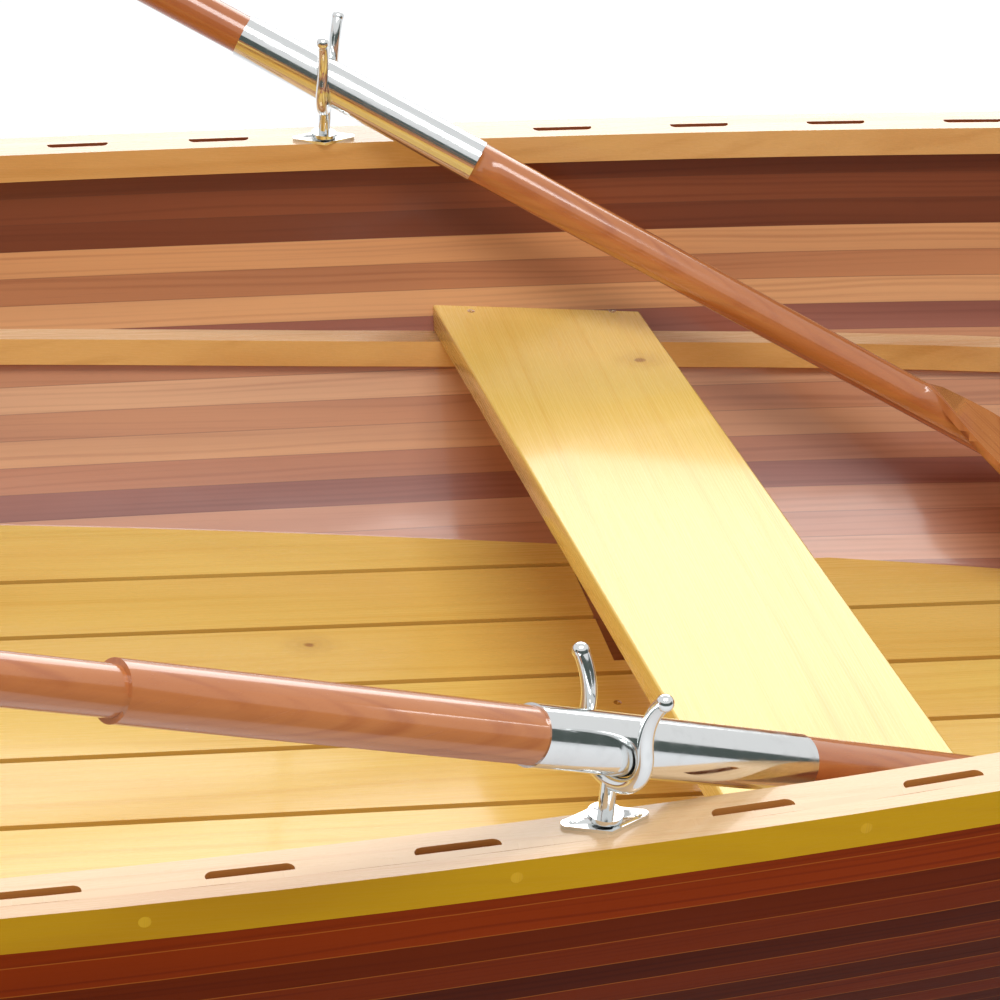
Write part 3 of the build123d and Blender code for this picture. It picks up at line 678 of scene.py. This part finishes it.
class BOAT_OT_stage(bpy.types.Operator):
    """Camera, lights and the pale surface around the waterline"""
    bl_idname = "boat.stage"
    bl_label = "Stage"

    def execute(self, context):
        self.camera(context)
        self.sky(context)
        for lamp in LAMPS:
            self.soft_box(context, *lamp)
        self.dark_side()
        self.water_surface()
        return {"FINISHED"}

    def camera(self, context):
        data = bpy.data.cameras.new("photo_camera")
        data.lens = context.scene.boat_sizes.lens
        data.sensor_width = SENSOR_MM
        data.clip_start, data.clip_end = CLIP_RANGE
        camera = link("photo_camera", data)
        turn = Matrix((Vector(CAMERA_RIGHT), -Vector(CAMERA_DOWN),
                       -Vector(CAMERA_AHEAD))).transposed()
        camera.matrix_world = Matrix.Translation(CAMERA_AT) @ turn.to_4x4()
        context.scene.camera = camera

    def sky(self, context):
        """Soft light on the boat, and plain white for what is seen past it."""
        shop = Shop(bpy.data.worlds.new("studio"))
        shop.tree.nodes.clear()
        soft = shop.node("ShaderNodeBackground", {}, {
            "Color": SKY_COLOUR, "Strength": SKY_STRENGTH})
        white = shop.node("ShaderNodeBackground", {}, {"Strength": 1.0})
        first, *others = [shop.node("ShaderNodeLightPath", out=ray)
                          for ray in WHITE_RAYS]
        for ray in others:
            first = shop.maths("MAXIMUM", first, ray)
        both = shop.node("ShaderNodeMixShader", {}, {0: first, 1: soft, 2: white})
        shop.node("ShaderNodeOutputWorld", {}, {0: both})
        context.scene.world = shop.owner
        context.scene.view_settings.view_transform = "Standard"

    def soft_box(self, context, place, target, size, power):
        """Large lamp that lights the boat and shows in its varnish."""
        data = bpy.data.lights.new("soft_box", "AREA")
        data.shape = "RECTANGLE"
        data.size, data.size_y = size
        data.energy = power
        lamp = link("soft_box", data)
        lamp.location = place
        way = Vector(target) - Vector(place)
        lamp.rotation_euler = way.to_track_quat("-Z", "Y").to_euler()

    def dark_side(self):
        """Curved dark cloth behind the camera, which the metal and the hull reflect."""
        points = []
        for i in range(CLOTH_PANELS + 1):
            angle = math.radians(CLOTH_FROM + CLOTH_SWEEP * i / CLOTH_PANELS)
            x = CLOTH_CENTRE_X + CLOTH_RADII[0] * math.cos(angle)
            y = CLOTH_RADII[1] * math.sin(angle)
            points += [(x, y, height) for height in CLOTH_HEIGHTS]
        faces = [(2 * i, 2 * i + 2, 2 * i + 3, 2 * i + 1) for i in range(CLOTH_PANELS)]
        cloth = linked_shape("dark_cloth", points, faces,
                             plain("dark_cloth", CLOTH_COLOUR))
        cloth.visible_camera = False
        cloth.visible_diffuse = False
        cloth.visible_shadow = False

    def water_surface(self):
        """Flat surface at z = 0 with a hole where the hull floats in it."""
        edge = self.waterline()
        outline = [Vector((x, y, 0.0)) for x, y in edge]
        outline += [Vector((x, -y, 0.0)) for x, y in reversed(edge)]
        points = []
        for p in outline:
            points += [p, Vector((p.x * 0.5, p.y, 0.0)).normalized() * WATER_REACH]
        count = len(outline)
        faces = []
        for i in range(count):
            j = (i + 1) % count
            faces.append((2 * i, 2 * i + 1, 2 * j + 1, 2 * j))
        floor = linked_shape("pale_floor", points, faces,
                             plain("pale_floor", WATER_COLOUR))

    def waterline(self):
        """Half-breadths of the hull at z = 0, from stern to bow."""
        tree = BVHTree.FromPolygons(*polygons(
            "side_planking_port", "bottom_planking_port", "stem", "skeg"))
        low, high = WATERLINE_ENDS
        found = []
        for i in range(WATERLINE_STEPS + 1):
            x = low + (high - low) * i / WATERLINE_STEPS
            hit = tree.ray_cast(Vector((x, RAY_REACH, 0.0)), Vector((0, -1, 0)))[0]
            if hit and hit.y > WATERLINE_SKIP:
                found.append((x, max(WATERLINE_LEAST, hit.y - WATERLINE_LAP)))
        return found


class Girth:
    """Distance below the sheer, along the inside of one side's planking."""

    def __init__(self, side, nodes):
        points = np.array([v.co for n in nodes for v in NODES[n].data.vertices])
        self.xs = np.linspace(points[:, 0].min() + GIRTH_INSET,
                              points[:, 0].max() - GIRTH_INSET, GIRTH_STATIONS)
        self.angles = np.linspace(0.0, math.pi / 2, GIRTH_ANGLES)
        tree = BVHTree.FromPolygons(*polygons(*nodes))
        self.tops = [self.edge_height(tree, x, side) for x in self.xs]
        self.table = np.array([self.row(tree, x, side) for x in self.xs])

    def row(self, tree, x, side):
        """Girth at each angle of one station."""
        centre = Vector((x, GIRTH_OFF_CENTRE * side, self.top(x) - GIRTH_UNDER_SHEER))
        reach = []
        for angle in self.angles:
            way = Vector((0.0, side * math.cos(angle), -math.sin(angle)))
            distance = tree.ray_cast(centre, way, RAY_REACH)[3]
            reach.append(distance or (reach[-1] if reach else GIRTH_FIRST_REACH))
        reach = np.array(reach)
        steps = np.hypot(np.diff(reach), reach[1:] * np.diff(self.angles))
        return np.concatenate([[0.0], np.cumsum(steps)])

    def edge_height(self, tree, x, side):
        """Height of the planking's edge, by halving the gap between hit and miss."""
        low, high = SHEER_RANGE
        for _ in range(SHEER_HALVINGS):
            middle = (low + high) / 2
            start = Vector((x, GIRTH_OFF_CENTRE * side, middle))
            if tree.ray_cast(start, Vector((0.0, side, 0.0)), RAY_REACH)[0]:
                low = middle
            else:
                high = middle
        return low

    def top(self, x):
        return np.interp(x, self.xs, self.tops)

    def at(self, points):
        """Girth at each point, from the four table places around it."""
        below = self.top(points[:, 0]) - points[:, 2]
        angle = np.arctan2(np.maximum(below, 0.0), np.abs(points[:, 1]))
        row = np.interp(points[:, 0], self.xs, np.arange(len(self.xs)))
        row = np.clip(row, 0, len(self.xs) - 1.001)
        column = np.clip(angle / self.angles[1], 0, len(self.angles) - 1.001)
        i, j = row.astype(int), column.astype(int)
        u, v = row - i, column - j
        t = self.table
        low = t[i, j] * (1 - v) + t[i, j + 1] * v
        high = t[i + 1, j] * (1 - v) + t[i + 1, j + 1] * v
        return low * (1 - u) + high * u


class BOAT_OT_planking(bpy.types.Operator):
    """Strip planking of both sides"""
    bl_idname = "boat.planking"
    bl_label = "Planking"

    def execute(self, context):
        for side, sign in SIDES.items():
            nodes = [zone + side for zone in PLANKING]
            girths = Girth(sign, nodes)
            for node in nodes:
                self.dress(node, sign, girths)
        return {"FINISHED"}

    def dress(self, node, sign, girths):
        """Copy of a zone: strips inside, hull outside, and the rail's wood on top."""
        mesh = NODES[node].data.copy()
        mesh.materials.clear()
        made = link(node + "_strips", mesh)
        points = np.array([v.co for v in mesh.vertices])
        girth = girths.at(points)
        write_attribute(mesh, "girth", girth)
        place = np.stack([points[:, 0], girth, np.zeros(len(points))], 1)
        write_attribute(mesh, "grain", place, "FLOAT_VECTOR")
        for name in ("strips", "rail", "outside"):
            mesh.materials.append(materials()[name])
        for face in mesh.polygons:
            near = all(girth[i] < SHEER_FACE_GIRTH for i in face.vertices)
            if face.normal.z > SHEER_FACE_FROM and near:
                face.material_index = 1
            elif sign * face.normal.y - face.normal.z > HULL_OUTSIDE_FROM:
                face.material_index = 2
        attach(made, body_of(node))
        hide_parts(node)


class BOAT_OT_woodwork(bpy.types.Operator):
    """Backbone, rails, seats and floor"""
    bl_idname = "boat.woodwork"
    bl_label = "Woodwork"

    def execute(self, context):
        m = materials()
        rounding = context.scene.boat_sizes.edge_round
        for i, node in enumerate(("keel", "skeg")):
            dressed(node, m["cedar"], seed=CEDAR_SEED + i)
        dressed("stem", m["rail"], (0, 0, 1), (1, 0, 0), STEM_SEED)
        dressed("transom", m["cedar"], (0, 1, 0), (0, 0, 1),
                TRANSOM_SEED, rounding)
        for i, node in enumerate(("breasthook", "quarter_knee_port",
                                  "quarter_knee_starboard")):
            dressed(node, m["rail"], seed=KNEE_SEED + i)
        for side, sign in SIDES.items():
            # Faces that look outboard get the painted shade copy of the rail's wood
            outer = [(m["rail_outside"], lambda n, s=sign:
                      n.z < STEEP_BELOW and s * n.y > RAIL_OUTSIDE_FROM)]
            inner = [(m["slot"], lambda n: n.z < STEEP_BELOW),
                     (m["rail_inside"], lambda n, s=sign:
                      n.z < STEEP_BELOW and s * n.y < RAIL_INSIDE_TO)]
            for zone, seed, faces in (("outwale_", OUTWALE_SEED, outer),
                                      ("inwale_", INWALE_SEED, inner),
                                      ("riser_", RISER_SEED, inner)):
                dressed(zone + side, m["rail"], seed=seed, faces=faces)
        for i, node in enumerate(SEATS):
            dressed(node, m["pine"], (0, 1, 0), (1, 0, 0), SEAT_SEED + i,
                    rounding)
        for i, node in enumerate(("floorboards", "floor_bearers")):
            dressed(node, m["floor"], seed=FLOOR_SEED + i)
        return {"FINISHED"}


class BOAT_OT_metalwork(bpy.types.Operator):
    """Sockets, oarlocks, sleeves and bow ring"""
    bl_idname = "boat.metalwork"
    bl_label = "Metalwork"

    def execute(self, context):
        for node in NODES:
            if node.startswith(METAL_NODES):
                dressed(node, materials()["metal"])
        return {"FINISHED"}


def stud(radius, rise, recess):
    """Round head as points and faces, with a crossed recess if one is asked for."""
    points = []
    for b in STUD_STEPS:
        for a in STUD_STEPS:
            x = a * math.sqrt(1.0 - b * b / 2)
            y = b * math.sqrt(1.0 - a * a / 2)
            height = rise * (1.0 - STUD_DOME * (x * x + y * y))
            thin, long = sorted((abs(a), abs(b)))
            if thin <= CROSS_HALF and long <= CROSS_LONG:
                height -= recess
            points.append(Vector((x * radius, y * radius, height)))
    count = len(STUD_STEPS)
    faces = []
    for j in range(count - 1):
        for i in range(count - 1):
            k = j * count + i
            faces.append([k, k + 1, k + count + 1, k + count])
    rim = list(range(count)) + [j * count + count - 1 for j in range(1, count)]
    rim += [count * count - 1 - i for i in range(1, count)]
    rim += [j * count for j in range(count - 2, 0, -1)]
    start = len(points)
    points += [Vector((points[k].x, points[k].y, STUD_ROOT)) for k in rim]
    for i, k in enumerate(rim):
        j = (i + 1) % len(rim)
        faces.append([k, start + i, start + j, rim[j]])
    faces.append([start + i for i in reversed(range(len(rim)))])
    return points, faces


def studs(name, places, radius, rise, recess, material, body):
    """One piece with a stud at each place, square to the surface there."""
    points, faces = [], []
    local, shape = stud(radius, rise, recess)
    for i, (spot, normal) in enumerate(places):
        turn = normal.to_track_quat("Z", "Y").to_matrix().to_4x4()
        spin = Matrix.Rotation(STUD_TURN * i, 4, "Z")
        here = Matrix.Translation(spot) @ turn @ spin
        start = len(points)
        points += [here @ p for p in local]
        faces += [[start + k for k in face] for face in shape]
    made = linked_shape(name, points, faces, material)
    shade(made.data)
    set_grain(made.data, (0, 0, 1), (1, 0, 0), STUD_SEED)
    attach(made, body)


class Surface:
    """Finds places on a CAD node by looking along a line."""

    def __init__(self, node):
        self.tree = BVHTree.FromPolygons(*polygons(node))

    def along(self, start, way):
        spot, normal = self.tree.ray_cast(Vector(start), Vector(way))[:2]
        return (spot, normal) if spot else None

    def below(self, x, y):
        return self.along((x, y, RAY_REACH), (0, 0, -1))

    def level_at(self, x, y, level):
        found = self.below(x, y)
        return bool(found) and abs(found[0].z - level) <= SAME_LEVEL

    def edge(self, x, side, level):
        """Half-breadth at which a board ends, at one place along the boat."""
        y = 0.0
        while y < EDGE_LIMIT and self.level_at(x, side * y, level):
            y += EDGE_STEP
        return y


class BOAT_OT_fastenings(bpy.types.Operator):
    """Screws of floor, seats and sockets, and the plugs of the rubbing strakes"""
    bl_idname = "boat.fastenings"
    bl_label = "Fastenings"

    def execute(self, context):
        m = materials()
        radius = context.scene.boat_sizes.screw_head / 2
        plug = context.scene.boat_sizes.plug_diameter / 2
        studs("floor_screws", self.floor_spots(), radius, SCREW_RISE, SCREW_RECESS,
              m["screw"], "boat")
        studs("seat_screws", self.seat_spots(), radius, SCREW_RISE, SCREW_RECESS,
              m["screw"], "boat")
        studs("socket_screws", self.socket_spots(), radius * SOCKET_SCREW_SIZE,
              SOCKET_SCREW_RISE, SOCKET_SCREW_RECESS, m["metal"],
              "boat")
        for side, sign in SIDES.items():
            studs("rail_plugs_" + side, self.plug_spots(side, sign), plug, PLUG_RISE,
                  0.0, m["plug"], "boat")
        return {"FINISHED"}

    def floor_spots(self):
        """A screw in each board over each bearer, where the board is whole."""
        floor = Surface("floorboards")
        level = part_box("floorboards")[1].z
        spots = []
        for x in BEARERS:
            for board in range(-LAST_BOARD, LAST_BOARD + 1):
                y = board * BOARD_PITCH
                if all(floor.level_at(x + dx, y + dy, level)
                       for dx in (-SCREW_CLEAR, SCREW_CLEAR)
                       for dy in (-SCREW_CLEAR, SCREW_CLEAR)):
                    spots.append(floor.below(x, y))
        return spots

    def seat_spots(self):
        """Four screws in each seat; those of the forward thwart are as photographed."""
        spots = []
        for node in SEATS:
            seat = Surface(node)
            low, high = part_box(node)
            if node == "forward_thwart":
                places = list(THWART_SCREWS)
                places += [(low.x + high.x - x, -y) for x, y in THWART_SCREWS]
            else:
                near, far = SEAT_SCREW_SHARE, 1 - SEAT_SCREW_SHARE
                places = [(x, side * (seat.edge(x, side, high.z) - SEAT_SCREW_INSET))
                          for x in (low.x * far + high.x * near,
                                    low.x * near + high.x * far)
                          for side in (-1, 1)]
            found = [seat.below(x, y) for x, y in places]
            spots += [spot for spot in found if spot]
        return spots

    def socket_spots(self):
        """Two screws in each socket's plate."""
        spots = []
        for node in NODES:
            if node.startswith("socket"):
                low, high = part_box(node)
                plate = Surface(node)
                for sign in (-1, 1):
                    out = sign * SOCKET_SCREW_SHARE * (high.x - low.x)
                    spots.append(plate.below((low.x + high.x) / 2 + out,
                                             (low.y + high.y) / 2))
        return spots

    def plug_spots(self, side, sign):
        """Plugs at even steps along the outer face of a rubbing strake."""
        node = "outwale_" + side
        strake = Surface(node)
        points = np.array([v.co for v in NODES[node].data.vertices])
        spots = []
        for i in range(PLUG_COUNT):
            x = PLUG_FIRST + i * PLUG_PITCH
            near = points[np.abs(points[:, 0] - x) < PLUG_NEAR]
            if len(near):
                height = near[:, 2].max() - PLUG_DROP
                spots.append(strake.along((x, sign * PLUG_FROM_Y, height),
                                          (0, -sign, 0)))
        return [spot for spot in spots if spot]


class BOAT_OT_oars(bpy.types.Operator):
    """Both oars"""
    bl_idname = "boat.oars"
    bl_label = "Oars"

    def execute(self, context):
        for i, side in enumerate(SIDES):
            lift = Vector(JOINTS["oar_lift_" + side]["axis"])
            along = lift.cross(Vector((0, 0, 1)))
            dressed("oar_" + side, materials()["oar"], along, lift,
                    OAR_SEED + i)
        return {"FINISHED"}


class BOAT_PT_panel(bpy.types.Panel):
    """Sizes, colours and the boat's pieces"""
    bl_idname = "BOAT_PT_panel"
    bl_label = "Rowing boat"
    bl_space_type = "VIEW_3D"
    bl_region_type = "UI"
    bl_category = "Boat"

    def draw(self, context):
        for group in (context.scene.boat_sizes, context.scene.boat_colours):
            for name in group.__annotations__:
                self.layout.prop(group, name)
        for operator in OPERATORS:
            self.layout.operator(operator.bl_idname)


OPERATORS = (BOAT_OT_stage, BOAT_OT_planking, BOAT_OT_woodwork, BOAT_OT_metalwork,
             BOAT_OT_fastenings, BOAT_OT_oars)
CLASSES = (BoatSizes, BoatColours, *OPERATORS, BOAT_PT_panel)


def register():
    for cls in CLASSES:
        bpy.utils.register_class(cls)
    bpy.types.Scene.boat_sizes = PointerProperty(type=BoatSizes)
    bpy.types.Scene.boat_colours = PointerProperty(type=BoatColours)


def unregister():
    del bpy.types.Scene.boat_sizes
    del bpy.types.Scene.boat_colours
    for cls in reversed(CLASSES):
        bpy.utils.unregister_class(cls)


def main():
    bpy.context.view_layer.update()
    register()
    bpy.ops.boat.stage()
    bpy.ops.boat.planking()
    bpy.ops.boat.woodwork()
    bpy.ops.boat.metalwork()
    bpy.ops.boat.fastenings()
    bpy.ops.boat.oars()


if __name__ == "__main__":
    main()
